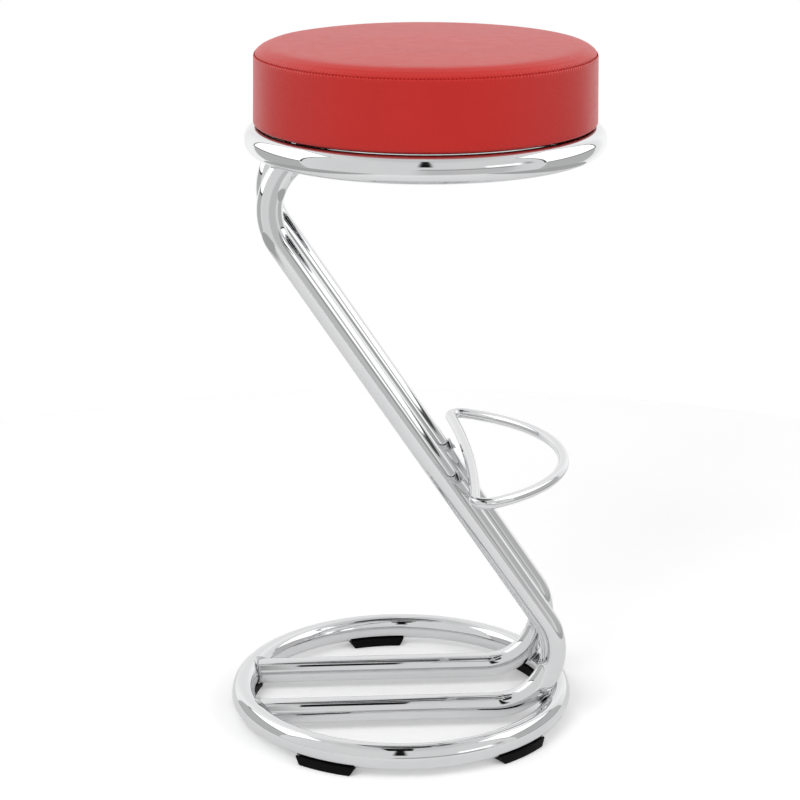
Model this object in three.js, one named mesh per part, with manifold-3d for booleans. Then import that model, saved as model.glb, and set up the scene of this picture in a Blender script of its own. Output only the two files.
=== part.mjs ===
// Diner counter stool: a round vinyl cushion on a chromed frame of two rings,
// two Z bent tubes and a rod footrest, standing on five rubber feet.
// Millimetres, +Z up. The stool stands on z = 0, midway between its two rings.

import * as THREE from 'three';
import { mergeVertices } from 'three/addons/utils/BufferGeometryUtils.js';
import Module from 'manifold-3d';

const wasm = await Module();
wasm.setup();

// Rings, rolled from tube that ends up slightly oval
const ringRadius = 180;
const ringTubeWidth = 26;
const ringTubeHeight = 29;
const ringWall = 1.5;
const ringShift = 26;
const seatRingHeight = 659;
const ventDiameter = 6;
const ventCount = 2;

// Z bent tubes, side by side
const bentTubeDiameter = 28;
const bentTubeWall = 1.5;
const bentTubeSpacing = 112;
const bendRadius = 66;

// Footrest, one rod bent into a closed loop
const footrestHeight = 300;
const footrestRodDiameter = 12;
const footrestArcRadius = 178;
const footrestReach = 167;
const footrestCornerRadius = 12;
const footrestBow = 9.5;

// Weld beads: how far they spread, and the root gaps that they bridge
const weldSize = 3;
const bendRoot = 1.6;
const footrestRoot = 2.2;
const weldEndSetback = 7;

// Rubber feet and the screws that hold them
const footCount = 5;
const firstFootDegrees = 168;
const footLift = 8;
const footLength = 68;
const footWidth = 21;
const footCradle = 2.5;
const footEndSlope = 5;
const footEndRise = 6;
const footScrewHeadDiameter = 8;
const footScrewHeadHeight = 2.4;
const footScrewShankDiameter = 4;
const footScrewLength = 9;
const footScrewRecess = 2.2;
const footScrewPoint = 2;

// Cushion and the black cover under it, which both reach a little past the seat ring's middle line
const cushionOverhang = 2.8;
const cushionHeight = 83.6;
const cushionBottomRound = 9;
const cushionTopRound = 9;
const cushionDrawIn = 1.4;
const cushionCrown = 3;
const seamDrop = 10;
const seamDepth = 0.8;
const seamRoll = 1.6;
const vinylThickness = 1.2;
const hemWidth = 20;
const coverOverhang = 1;
const coverThickness = 2;
const boardThickness = 12;

// Seat bolts and the tee nuts that they thread into
const boltReach = 70;
const boltDiameter = 6;
const boltHeadDiameter = 12;
const boltHeadHeight = 4;
const boltEntry = 11;
const teeNutBarrelDiameter = 8.6;
const teeNutBarrelLength = 9;
const teeNutFlangeDiameter = 19;
const teeNutFlangeThickness = 1.2;

// Space between pieces that touch, and how far a cut runs past what it cuts
const clearance = 0.3;
const overrun = 5;

// How finely round shapes are divided
const sectionSides = 12;
const rodSides = 8;
const ringSteps = 44;
const bendSteps = 9;
const arcSteps = 22;
const cornerSteps = 5;
const barSteps = 4;
const footSteps = 4;
const cushionSteps = 40;
const roundSteps = 4;
const crownSteps = 3;
const screwSides = 8;

// Heights and places that follow from those sizes
const baseRingHeight = footLift + ringTubeHeight / 2;
const frameMiddle = (baseRingHeight + seatRingHeight) / 2;
const seatRingTop = seatRingHeight + ringTubeHeight / 2;
const tubeSides = { front: -bentTubeSpacing / 2, rear: bentTubeSpacing / 2 };
const cushionRadius = ringRadius + cushionOverhang;
const coverRadius = ringRadius + coverOverhang;
const cushionBottom = coverThickness + 2 * clearance;
const cushionTop = cushionBottom + cushionHeight;
const seamHeight = cushionTop - seamDrop;
const boardRadius = cushionRadius - cushionBottomRound - vinylThickness;
const boardBottom = cushionBottom + vinylThickness + clearance;
const boardTop = boardBottom + boardThickness;

const chrome = { color: 0xd9dcdf, roughness: 0.07, metalness: 1 };
const weldMetal = { color: 0xb4b8bc, roughness: 0.28, metalness: 1 };
const rubber = { color: 0x161616, roughness: 0.75, metalness: 0 };
const zinc = { color: 0xb9bcbd, roughness: 0.35, metalness: 1 };
const redVinyl = { color: 0xbe3432, roughness: 0.32, metalness: 0 };
const blackCover = { color: 0x17181a, roughness: 0.6, metalness: 0 };
const plywood = { color: 0xc79f6b, roughness: 0.7, metalness: 0 };
const foam = { color: 0xe9ddab, roughness: 0.95, metalness: 0 };

// Six times the volume inside a list of triangles, negative when they face inward
function turnedVolume(corners, triangles) {
  const a = new THREE.Vector3();
  const b = new THREE.Vector3();
  const c = new THREE.Vector3();
  let total = 0;
  for (let i = 0; i < triangles.length; i += 3) {
    a.fromBufferAttribute(corners, triangles[i]);
    b.fromBufferAttribute(corners, triangles[i + 1]);
    c.fromBufferAttribute(corners, triangles[i + 2]);
    total += a.dot(b.cross(c));
  }
  return total;
}

// A closed geometry as a solid, with shared corners joined and its faces outward
function solidOf(geometry) {
  geometry.deleteAttribute('normal');
  geometry.deleteAttribute('uv');
  const joined = mergeVertices(geometry);
  const triangles = [];
  for (let i = 0; i < joined.index.count; i += 3) {
    const a = joined.index.getX(i);
    const b = joined.index.getX(i + 1);
    const c = joined.index.getX(i + 2);
    if (a !== b && b !== c && c !== a) {
      triangles.push(a, b, c);
    }
  }
  if (turnedVolume(joined.attributes.position, triangles) < 0) {
    triangles.reverse();
  }
  const mesh = new wasm.Mesh({
    numProp: 3,
    vertProperties: new Float32Array(joined.attributes.position.array),
    triVerts: new Uint32Array(triangles),
  });
  return new wasm.Manifold(mesh);
}

// A named mesh of a solid, in its own material
function pieceOf(name, solid, look) {
  const mesh = solid.getMesh();
  const geometry = new THREE.BufferGeometry();
  geometry.setAttribute('position', new THREE.BufferAttribute(mesh.vertProperties, 3));
  geometry.setIndex(new THREE.BufferAttribute(mesh.triVerts, 1));
  geometry.computeVertexNormals();
  const piece = new THREE.Mesh(geometry, new THREE.MeshStandardMaterial(look));
  piece.name = name;
  return piece;
}

// The corners of an oval about the origin, one of them on each axis
function ovalPoints(halfWidth, halfHeight, sides) {
  const points = [];
  for (let i = 0; i < sides; i += 1) {
    const angle = (i / sides) * 2 * Math.PI;
    points.push(new THREE.Vector2(halfWidth * Math.cos(angle), halfHeight * Math.sin(angle)));
  }
  return points;
}

// A profile of radius and height turned about the Z axis
function turned(profile, steps) {
  const geometry = new THREE.LatheGeometry(profile, steps);
  geometry.rotateX(Math.PI / 2);
  return solidOf(geometry);
}

// An upright round bar on the Z axis
function uprightBar(radius, bottom, top, sides) {
  const geometry = new THREE.CylinderGeometry(radius, radius, top - bottom, sides);
  geometry.rotateX(Math.PI / 2);
  geometry.translate(0, 0, (bottom + top) / 2);
  return solidOf(geometry);
}

// A centreline that puts one cross-section at each of its stations
class StationPath extends THREE.Curve {
  constructor(stations) {
    super();
    this.stations = stations;
  }

  stationAt(share) {
    return this.stations[Math.round(share * (this.stations.length - 1))];
  }

  getPointAt(share, target = new THREE.Vector3()) {
    return target.copy(this.stationAt(share).point);
  }

  getTangentAt(share, target = new THREE.Vector3()) {
    return target.copy(this.stationAt(share).tangent);
  }
}

function swept(stations, shape) {
  const path = new StationPath(stations);
  const settings = { steps: stations.length - 1, extrudePath: path, bevelEnabled: false };
  return solidOf(new THREE.ExtrudeGeometry(shape, settings));
}

// A full ring about its own middle, its tube larger all round by the growth
function fullRing(growth) {
  const halfWidth = ringTubeWidth / 2 + growth;
  const halfHeight = ringTubeHeight / 2 + growth;
  const profile = ovalPoints(halfWidth, halfHeight, sectionSides);
  for (const point of profile) {
    point.x += ringRadius;
  }
  profile.push(profile[0].clone());
  return turned(profile, ringSteps);
}

function baseRingZone(growth) {
  return fullRing(growth).translate([-ringShift / 2, 0, baseRingHeight]);
}

function seatRingZone(growth) {
  return fullRing(growth).translate([ringShift / 2, 0, seatRingHeight]);
}

// A ring's middle to the point where a bent tube's centreline crosses its own centreline
function ringCrossing() {
  return Math.sqrt(ringRadius ** 2 - (bentTubeSpacing / 2) ** 2);
}

// The middle of the base bend, placed so that the bend clears the ring by its root gap
function bendCentreReach() {
  const tubeHalf = bentTubeDiameter / 2;
  const ringHalf = ringTubeHeight / 2;
  const slant = bendRadius + tubeHalf + ringHalf + bendRoot;
  return ringCrossing() - ringShift / 2 - Math.sqrt(slant ** 2 - bendRadius ** 2);
}

// The slope of the tube's long run, which touches both bends and passes the frame's middle
function slopeAngle() {
  const across = bendCentreReach();
  const upward = frameMiddle - baseRingHeight - bendRadius;
  return Math.atan2(upward, across) - Math.asin(bendRadius / Math.hypot(across, upward));
}

// Stations of a Z bent tube in its own plane, its ends held back from the ring centrelines
function bentTubeStations(setback) {
  const reach = bendCentreReach();
  const turn = Math.PI - slopeAngle();
  const lower = [];
  lower.push({
    point: new THREE.Vector3(setback - ringShift / 2 - ringCrossing(), 0, baseRingHeight),
    tangent: new THREE.Vector3(1, 0, 0),
  });
  for (let i = 0; i <= bendSteps; i += 1) {
    const turnedBy = (turn * i) / bendSteps;
    const along = reach + bendRadius * Math.sin(turnedBy);
    const height = baseRingHeight + bendRadius * (1 - Math.cos(turnedBy));
    lower.push({
      point: new THREE.Vector3(along, 0, height),
      tangent: new THREE.Vector3(Math.cos(turnedBy), 0, Math.sin(turnedBy)),
    });
  }
  const upper = lower.map((station) => ({
    point: new THREE.Vector3(-station.point.x, 0, 2 * frameMiddle - station.point.z),
    tangent: station.tangent.clone(),
  }));
  return [...lower, ...upper.reverse()];
}

// A bent tube without its bore, in its own plane
function bentTubeZone(growth, setback) {
  const radius = bentTubeDiameter / 2 + growth;
  const shape = new THREE.Shape(ovalPoints(radius, radius, sectionSides));
  return swept(bentTubeStations(setback), shape);
}

// The footrest's middle line where it passes the tubes, just clear of their upper side
function footrestBarOffset() {
  const apart = (bentTubeDiameter + footrestRodDiameter) / 2 + footrestRoot;
  const slope = slopeAngle();
  return (frameMiddle - footrestHeight) / Math.tan(slope) + apart / Math.sin(slope);
}

// Stations along the rear half of the footrest, from the middle of its bar to its front
function footrestHalf() {
  const halfSpan = footrestArcRadius - footrestCornerRadius;
  const bowRadius = (halfSpan ** 2 + footrestBow ** 2) / (2 * footrestBow);
  const tubeDip = bowRadius - Math.sqrt(bowRadius ** 2 - (bentTubeSpacing / 2) ** 2);
  const barMiddle = footrestBarOffset() + tubeDip;
  const bowCentre = barMiddle - bowRadius;
  const arcCentre = footrestReach - footrestArcRadius;
  const outerReach = bowRadius + footrestCornerRadius;
  const squares = outerReach ** 2 - halfSpan ** 2 - bowCentre ** 2 + arcCentre ** 2;
  const cornerAlong = squares / (2 * (arcCentre - bowCentre));
  const cornerAcross = Math.sqrt(halfSpan ** 2 - (cornerAlong - arcCentre) ** 2);
  const barEnd = Math.atan2(cornerAcross, cornerAlong - bowCentre);
  const arcEnd = Math.atan2(cornerAcross, cornerAlong - arcCentre);
  const stations = [];
  const addArc = (centre, across, radius, from, to, steps, travel) => {
    for (let i = stations.length > 0 ? 1 : 0; i <= steps; i += 1) {
      const angle = from + ((to - from) * i) / steps;
      const x = centre + radius * Math.cos(angle);
      const y = across + radius * Math.sin(angle);
      stations.push({
        point: new THREE.Vector3(x, y, 0),
        tangent: new THREE.Vector3(-travel * Math.sin(angle), travel * Math.cos(angle), 0),
      });
    }
  };
  addArc(bowCentre, 0, bowRadius, 0, barEnd, barSteps, 1);
  addArc(cornerAlong, cornerAcross, footrestCornerRadius, barEnd + Math.PI, arcEnd, cornerSteps, -1);
  addArc(arcCentre, 0, footrestArcRadius, arcEnd, 0, arcSteps, -1);
  return stations;
}

// Stations round the whole footrest: the rear half, then its mirror image back to the bar
function footrestStations() {
  const rear = footrestHalf();
  const front = rear.map((station) => ({
    point: new THREE.Vector3(station.point.x, -station.point.y, 0),
    tangent: new THREE.Vector3(-station.tangent.x, station.tangent.y, 0),
  }));
  return [...rear, ...front.reverse().slice(1)];
}

// The whole footrest loop at its height
function footrestZone(growth) {
  const stations = footrestStations();
  const radius = footrestRodDiameter / 2 + growth;
  const path = new StationPath(stations);
  const loop = new THREE.TubeGeometry(path, stations.length - 1, radius, rodSides, true);
  return solidOf(loop).translate([0, 0, footrestHeight]);
}

// What lies within the growth of both of two solids
function sharedZone(makeOne, makeOther, growth) {
  return makeOne(growth).intersect(makeOther(growth));
}

// The weld zones of one bent tube at one ring, the lower x first
function ringWeldZones(across, makeRing, height, growth) {
  const setback = weldEndSetback + weldSize - growth;
  const makeTube = (more) => bentTubeZone(more, setback).translate([0, across, 0]);
  const wide = 2 * (ringRadius + ringShift + ringTubeWidth);
  const slab = new THREE.BoxGeometry(wide, wide, ringTubeHeight + 2 * (growth - weldSize));
  slab.translate(0, 0, height);
  const zone = sharedZone(makeTube, makeRing, growth).intersect(solidOf(slab));
  const parts = zone.decompose();
  parts.sort((a, b) => a.boundingBox().min[0] - b.boundingBox().min[0]);
  return parts;
}

// A lathed screw or bolt with its head down, larger all round by the growth
function headedProfile(headRadius, headHeight, shankRadius, length, point, growth) {
  const headEnd = headHeight + growth;
  const shankEnd = headHeight + length + growth;
  return [
    new THREE.Vector2(0, -growth),
    new THREE.Vector2(headRadius + growth, -growth),
    new THREE.Vector2(headRadius + growth, headEnd),
    new THREE.Vector2(shankRadius + growth, headEnd),
    new THREE.Vector2(shankRadius + growth, shankEnd - point),
    new THREE.Vector2(shankRadius - point / 2 + growth, shankEnd),
    new THREE.Vector2(0, shankEnd),
  ];
}

function footScrewSolid(growth) {
  const headRadius = footScrewHeadDiameter / 2;
  const shankRadius = footScrewShankDiameter / 2;
  const profile = headedProfile(
    headRadius, footScrewHeadHeight, shankRadius, footScrewLength, footScrewPoint, growth);
  return turned(profile, screwSides).translate([ringRadius, 0, footScrewRecess]);
}

// The room that one foot screw needs, open downward
function footScrewRoom() {
  const headRadius = footScrewHeadDiameter / 2 + clearance;
  const mouth = uprightBar(headRadius, -overrun, footScrewRecess, screwSides);
  return footScrewSolid(clearance).add(mouth.translate([ringRadius, 0, 0]));
}

function footAngle(index) {
  return THREE.MathUtils.degToRad(firstFootDegrees + (360 * index) / footCount);
}

// The base ring about its own middle, with a screw hole over each foot
function baseRing() {
  let ring = fullRing(0).subtract(fullRing(-ringWall));
  const room = footScrewRoom().translate([0, 0, -baseRingHeight]);
  for (let i = 0; i < footCount; i += 1) {
    ring = ring.subtract(room.rotate([0, 0, THREE.MathUtils.radToDeg(footAngle(i))]));
  }
  return ring;
}

// The seat ring about its own middle, with vent holes in its underside
function seatRing() {
  let ring = fullRing(0).subtract(fullRing(-ringWall));
  const vent = uprightBar(ventDiameter / 2, -ringTubeHeight / 2 - overrun, 0, rodSides);
  for (let i = 0; i < ventCount; i += 1) {
    const angle = (2 * Math.PI * (i + 0.5)) / ventCount;
    const x = ringRadius * Math.cos(angle);
    const y = ringRadius * Math.sin(angle);
    ring = ring.subtract(vent.translate([x, y, 0]));
  }
  return ring;
}

// The four seat bolt places, measured from the middle of the seat
function boltPlaces() {
  const places = [];
  for (const across of Object.values(tubeSides)) {
    places.push([-boltReach, across], [boltReach, across]);
  }
  return places;
}

// One bent tube in its own plane: ends coped to the rings, holes drilled for the seat bolts
function bentTube(across) {
  const radius = bentTubeDiameter / 2;
  const bore = radius - bentTubeWall;
  const shape = new THREE.Shape(ovalPoints(radius, radius, sectionSides));
  shape.holes.push(new THREE.Path(ovalPoints(bore, bore, sectionSides)));
  let tube = swept(bentTubeStations(0), shape);
  tube = tube.subtract(baseRingZone(clearance).translate([0, -across, 0]));
  tube = tube.subtract(seatRingZone(clearance).translate([0, -across, 0]));
  const holeRadius = boltDiameter / 2 + clearance;
  const low = seatRingHeight - radius - overrun;
  const high = seatRingHeight + radius + overrun;
  const hole = uprightBar(holeRadius, low, high, screwSides);
  for (const [along] of boltPlaces().filter((place) => place[1] === across)) {
    tube = tube.subtract(hole.translate([ringShift / 2 + along, 0, 0]));
  }
  return tube;
}

// The side outline of a foot, its sole shorter than its top
function footOutline() {
  const half = footLength / 2;
  const top = footLift + footCradle;
  const points = [];
  for (let i = 0; i <= footSteps; i += 1) {
    const share = (2 * i) / footSteps - 1;
    points.push(new THREE.Vector2(share * (half - footEndSlope), 0));
  }
  points.push(new THREE.Vector2(half, footEndRise));
  for (let i = footSteps; i >= 0; i -= 1) {
    const share = (2 * i) / footSteps - 1;
    points.push(new THREE.Vector2(share * half, top));
  }
  points.push(new THREE.Vector2(-half, footEndRise));
  return points;
}

// A foot at angle zero: a straight block bent round to follow the ring
function footBlock() {
  const shape = new THREE.Shape(footOutline());
  const geometry = new THREE.ExtrudeGeometry(shape, { depth: footWidth, bevelEnabled: false });
  const places = geometry.attributes.position;
  for (let i = 0; i < places.count; i += 1) {
    const angle = places.getX(i) / ringRadius;
    const radius = ringRadius - footWidth / 2 + places.getZ(i);
    places.setXYZ(i, radius * Math.cos(angle), radius * Math.sin(angle), places.getY(i));
  }
  return solidOf(geometry);
}

// A foot at angle zero, shaped to the ring above it and cleared of tube and weld beside it
function foot(index) {
  const back = -THREE.MathUtils.radToDeg(footAngle(index));
  const ring = fullRing(clearance).translate([0, 0, baseRingHeight]);
  let solid = footBlock().subtract(footScrewRoom()).subtract(ring.rotate([0, 0, back]));
  for (const across of Object.values(tubeSides)) {
    const neighbours = [bentTubeZone(clearance, 0).translate([0, across, 0])];
    neighbours.push(...ringWeldZones(across, baseRingZone, baseRingHeight, weldSize + clearance));
    for (const neighbour of neighbours) {
      solid = solid.subtract(neighbour.translate([ringShift / 2, 0, 0]).rotate([0, 0, back]));
    }
  }
  return solid;
}

function seatBoltSolid() {
  const length = seatBoltTop() - seatBoltSeat();
  const profile = headedProfile(
    boltHeadDiameter / 2, boltHeadHeight, boltDiameter / 2, length, 0, 0);
  return turned(profile, screwSides);
}

// Heights of a seat bolt's head face and of its end, from the top of the seat ring
function seatBoltSeat() {
  return -(ringTubeHeight + bentTubeDiameter) / 2 - clearance;
}

function seatBoltTop() {
  return boardBottom + boltEntry;
}

// A tee nut with its flange up, hollow for the bolt, its flange lying on the board
function teeNut() {
  const bore = boltDiameter / 2 + clearance;
  const barrel = teeNutBarrelDiameter / 2;
  const flange = teeNutFlangeDiameter / 2;
  const profile = [
    new THREE.Vector2(bore, -teeNutBarrelLength),
    new THREE.Vector2(barrel, -teeNutBarrelLength),
    new THREE.Vector2(barrel, 0),
    new THREE.Vector2(flange, 0),
    new THREE.Vector2(flange, teeNutFlangeThickness),
    new THREE.Vector2(bore, teeNutFlangeThickness),
    new THREE.Vector2(bore, -teeNutBarrelLength),
  ];
  return turned(profile, screwSides);
}

// A disc drilled at the four bolt places
function drilledDisc(radius, bottom, top, holeRadius) {
  let disc = uprightBar(radius, bottom, top, cushionSteps);
  const hole = uprightBar(holeRadius, bottom - overrun, top + overrun, screwSides);
  for (const [along, across] of boltPlaces()) {
    disc = disc.subtract(hole.translate([along, across, 0]));
  }
  return disc;
}

// The rounded lower edge of the cushion, drawn inward by the inset
function lowerEdge(inset) {
  const centre = cushionRadius - cushionBottomRound;
  const radius = cushionBottomRound - inset;
  const points = [];
  for (let i = 0; i <= roundSteps; i += 1) {
    const angle = (Math.PI / 2) * (i / roundSteps - 1);
    const height = cushionBottom + cushionBottomRound + radius * Math.sin(angle);
    points.push(new THREE.Vector2(centre + radius * Math.cos(angle), height));
  }
  return points;
}

// The cushion's side just below its seam, drawn in and then rolled into the stitch line
function belowSeam(inset) {
  const side = cushionRadius - cushionDrawIn - inset;
  return [
    new THREE.Vector2(side, seamHeight - seamRoll),
    new THREE.Vector2(side - seamDepth, seamHeight - clearance / 2),
  ];
}

// The cushion's edge above its seam and its crowned top, ending on the axis
function aboveSeam(inset) {
  const side = cushionRadius - cushionDrawIn - inset;
  const rimHeight = cushionTop - cushionCrown;
  const rimRadius = cushionRadius - cushionDrawIn - cushionTopRound;
  const rollHeight = seamHeight + seamRoll - rimHeight + cushionTopRound;
  const start = Math.asin(rollHeight / cushionTopRound);
  const points = [new THREE.Vector2(side - seamDepth, seamHeight + clearance / 2)];
  for (let i = 0; i <= roundSteps; i += 1) {
    const angle = start + ((Math.PI / 2 - start) * i) / roundSteps;
    const radius = cushionTopRound - inset;
    const height = rimHeight - cushionTopRound + radius * Math.sin(angle);
    points.push(new THREE.Vector2(rimRadius + radius * Math.cos(angle), height));
  }
  for (let i = crownSteps - 1; i >= 0; i -= 1) {
    const share = i / crownSteps;
    const height = cushionTop - inset - cushionCrown * share ** 2;
    points.push(new THREE.Vector2(rimRadius * share, height));
  }
  return points;
}

// The vinyl side band, its hem turned in under the board
function vinylSideBand() {
  const hem = cushionRadius - cushionBottomRound - hemWidth;
  const profile = [
    new THREE.Vector2(hem, cushionBottom),
    ...lowerEdge(0),
    ...belowSeam(0),
    ...belowSeam(vinylThickness).reverse(),
    ...lowerEdge(vinylThickness).reverse(),
    new THREE.Vector2(hem, cushionBottom + vinylThickness),
    new THREE.Vector2(hem, cushionBottom),
  ];
  return turned(profile, cushionSteps);
}

// The vinyl top panel, its edge turned down to the seam
function vinylTopPanel() {
  const profile = [...aboveSeam(vinylThickness).reverse(), ...aboveSeam(0)];
  return turned(profile, cushionSteps);
}

// The foam, wrapped down round the edge of the board, with room for the tee nut flanges
function foamPad() {
  const inset = vinylThickness + clearance;
  const inner = boardRadius + clearance;
  const bottom = boardTop + clearance;
  const profile = [
    new THREE.Vector2(0, bottom),
    new THREE.Vector2(inner, bottom),
    new THREE.Vector2(inner, cushionBottom + inset),
    ...lowerEdge(inset),
    ...belowSeam(inset),
    ...aboveSeam(inset),
  ];
  let pad = turned(profile, cushionSteps);
  const pocketTop = bottom + teeNutFlangeThickness + clearance;
  const pocketRadius = teeNutFlangeDiameter / 2 + clearance;
  const pocket = uprightBar(pocketRadius, bottom - overrun, pocketTop, screwSides);
  for (const [along, across] of boltPlaces()) {
    pad = pad.subtract(pocket.translate([along, across, 0]));
  }
  return pad;
}

// The base: ring, feet and screws about the middle of the base ring
function makeBase() {
  const base = new THREE.Group();
  base.position.x = -ringShift / 2;
  const ring = pieceOf('base_ring', baseRing(), chrome);
  ring.position.z = baseRingHeight;
  base.add(ring);
  for (let i = 0; i < footCount; i += 1) {
    const pad = pieceOf(`rubber_foot_${i + 1}`, foot(i), rubber);
    const screw = pieceOf(`foot_screw_${i + 1}`, footScrewSolid(0), zinc);
    pad.rotation.z = footAngle(i);
    screw.rotation.z = footAngle(i);
    base.add(pad, screw);
  }
  return base;
}

// The bent tubes, the footrest and every weld bead
function makeFrame() {
  const frame = new THREE.Group();
  frame.add(pieceOf('footrest_loop', footrestZone(0), chrome));
  const rings = {
    base: { zone: baseRingZone, height: baseRingHeight, ends: ['end', 'bend'] },
    seat: { zone: seatRingZone, height: seatRingHeight, ends: ['bend', 'end'] },
  };
  for (const [side, across] of Object.entries(tubeSides)) {
    const tube = pieceOf(`bent_tube_${side}`, bentTube(across), chrome);
    tube.position.y = across;
    frame.add(tube);
    const plainTube = (growth) => bentTubeZone(growth, 0).translate([0, across, 0]);
    for (const [place, ring] of Object.entries(rings)) {
      const zones = ringWeldZones(across, ring.zone, ring.height, weldSize);
      ring.ends.forEach((end, index) => {
        const bead = zones[index].subtract(plainTube(clearance)).subtract(ring.zone(clearance));
        frame.add(pieceOf(`weld_${side}_${place}_${end}`, bead, weldMetal));
      });
    }
    const crossing = sharedZone(plainTube, footrestZone, weldSize);
    const bead = crossing.subtract(plainTube(clearance)).subtract(footrestZone(clearance));
    frame.add(pieceOf(`weld_${side}_footrest`, bead, weldMetal));
  }
  return frame;
}

// The seat: its ring, cover, board, foam, vinyl and fastenings about the ring's middle
function makeSeat() {
  const seat = new THREE.Group();
  seat.position.set(ringShift / 2, 0, seatRingTop);
  const ring = pieceOf('seat_ring', seatRing(), chrome);
  ring.position.z = -ringTubeHeight / 2;
  const coverHole = boltDiameter / 2 + clearance;
  const boardHole = teeNutBarrelDiameter / 2 + clearance;
  const cover = drilledDisc(coverRadius, clearance, clearance + coverThickness, coverHole);
  const board = drilledDisc(boardRadius, boardBottom, boardTop, boardHole);
  seat.add(ring);
  seat.add(pieceOf('seat_cover', cover, blackCover));
  seat.add(pieceOf('seat_board', board, plywood));
  seat.add(pieceOf('foam_pad', foamPad(), foam));
  seat.add(pieceOf('vinyl_side_band', vinylSideBand(), redVinyl));
  seat.add(pieceOf('vinyl_top_panel', vinylTopPanel(), redVinyl));
  boltPlaces().forEach(([along, across], index) => {
    const bolt = pieceOf(`seat_bolt_${index + 1}`, seatBoltSolid(), zinc);
    bolt.position.set(along, across, seatBoltSeat() - boltHeadHeight);
    const nut = pieceOf(`tee_nut_${index + 1}`, teeNut(), zinc);
    nut.position.set(along, across, boardTop + clearance);
    seat.add(bolt, nut);
  });
  return seat;
}

const stool = new THREE.Group();
stool.add(makeBase(), makeFrame(), makeSeat());

export default stool;
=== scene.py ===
# Diner counter stool, dressed for rendering: a round vinyl cushion on a chromed frame of
# two rings, two Z bent tubes and a rod footrest. Metres, +Z up, standing on the floor at z = 0.

import math

import bmesh
import bpy
from mathutils import Matrix, Vector, noise


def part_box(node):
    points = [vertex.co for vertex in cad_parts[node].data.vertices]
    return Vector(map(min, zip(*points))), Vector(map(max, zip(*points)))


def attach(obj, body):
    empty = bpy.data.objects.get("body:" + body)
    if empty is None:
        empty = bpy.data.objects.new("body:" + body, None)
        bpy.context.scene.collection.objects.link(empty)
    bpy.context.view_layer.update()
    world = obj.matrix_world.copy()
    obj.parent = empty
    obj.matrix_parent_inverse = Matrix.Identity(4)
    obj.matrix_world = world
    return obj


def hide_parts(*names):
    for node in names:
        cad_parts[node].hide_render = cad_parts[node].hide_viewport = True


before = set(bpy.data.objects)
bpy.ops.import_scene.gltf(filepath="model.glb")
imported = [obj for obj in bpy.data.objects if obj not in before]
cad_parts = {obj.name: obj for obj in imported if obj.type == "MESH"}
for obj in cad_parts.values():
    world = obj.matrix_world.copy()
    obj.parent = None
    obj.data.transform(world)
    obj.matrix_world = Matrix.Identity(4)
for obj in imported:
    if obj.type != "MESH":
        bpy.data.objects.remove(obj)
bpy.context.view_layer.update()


# Base ring and seat ring
# Each is a length of steel tube rolled into a hoop, butt welded, polished and chrome plated.
# The base ring stands on the rubber feet, and the seat ring carries the cushion.

MM = 0.001
RING_RADIUS = 180 * MM
RING_TUBE_WIDTH = 26 * MM
RING_TUBE_HEIGHT = 29 * MM
TUBE_WALL = 1.5 * MM
VENT_DIAMETER = 6 * MM
FOOT_HOLE_DIAMETER = 4.6 * MM
FOOT_COUNT = 5
FIRST_FOOT_DEGREES = 168
FIT_GAP = 0.3 * MM
CUT_MARGIN = 2 * MM
MERGE_DISTANCE = 0.001 * MM
RING_STEPS = 256
TUBE_SIDES = 48
PEG_SIDES = 32
METAL_SMOOTH_DEGREES = 35
CHROME_COLOURS = ("#dcdcdd", "#d3d4d5")
CHROME_ROUGHNESS = (0.03, 0.06)
SMUDGE_SIZE = 55 * MM
SMUDGE_DETAIL = 3
SMUDGE_SPAN = (0.3, 0.7)
WAVE_SIZE = 38 * MM
WAVE_DETAIL = 1
WAVE_HEIGHT = 0.012 * MM

# Where the mix node has its sockets when it mixes colours
MIX_SHARE = 0
MIX_FIRST = 6
MIX_SECOND = 7
MIX_RESULT = 2


def linear(hex_colour):
    """The linear colour that a shader socket takes, from an sRGB hex value, by the sRGB formula."""
    shares = [int(hex_colour[i:i + 2], 16) / 255 for i in (1, 3, 5)]
    return [s / 12.92 if s <= 0.04045 else ((s + 0.055) / 1.055) ** 2.4 for s in shares] + [1]


def add_node(tree, kind, values=None):
    """A node, a shader node unless its kind says more, with its settings and socket values. A value
    that is another node's socket comes in by a link, and a node stands for its first socket."""
    node = tree.nodes.new(kind if "Node" in kind else f"ShaderNode{kind}")
    for key, value in (values or {}).items():
        if isinstance(value, bpy.types.Node):
            value = value.outputs[0]
        if isinstance(value, bpy.types.NodeSocket):
            tree.links.new(value, node.inputs[key])
        elif isinstance(key, str) and hasattr(node, key):
            setattr(node, key, value)
        else:
            node.inputs[key].default_value = value
    return node


def math_node(tree, operation, *values):
    """A node that works out one operation on these numbers or sockets."""
    return add_node(tree, "Math", {"operation": operation, **dict(enumerate(values))})


def new_finish(name):
    """An empty material and its node tree."""
    finish = bpy.data.materials.new(name)
    finish.use_nodes = True
    finish.node_tree.nodes.clear()
    return finish, finish.node_tree


def pattern(tree, sizes, detail, kind="TexNoise", **more):
    """A noise or cell pattern whose features have these sizes along the piece's X, Y and Z."""
    place = add_node(tree, "TexCoord").outputs["Object"]
    scales = [1 / size for size in sizes]
    scaled = add_node(tree, "Mapping", {"Scale": scales, "Vector": place})
    return add_node(tree, kind, {"Scale": 1, "Detail": detail, **more, "Vector": scaled})


def blend(tree, colours, share):
    """The socket of a colour between two sRGB hex values."""
    first, second = [linear(colour) for colour in colours]
    mixed = add_node(tree, "Mix", {
        "data_type": "RGBA", MIX_FIRST: first, MIX_SECOND: second, MIX_SHARE: share})
    return mixed.outputs[MIX_RESULT]


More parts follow.
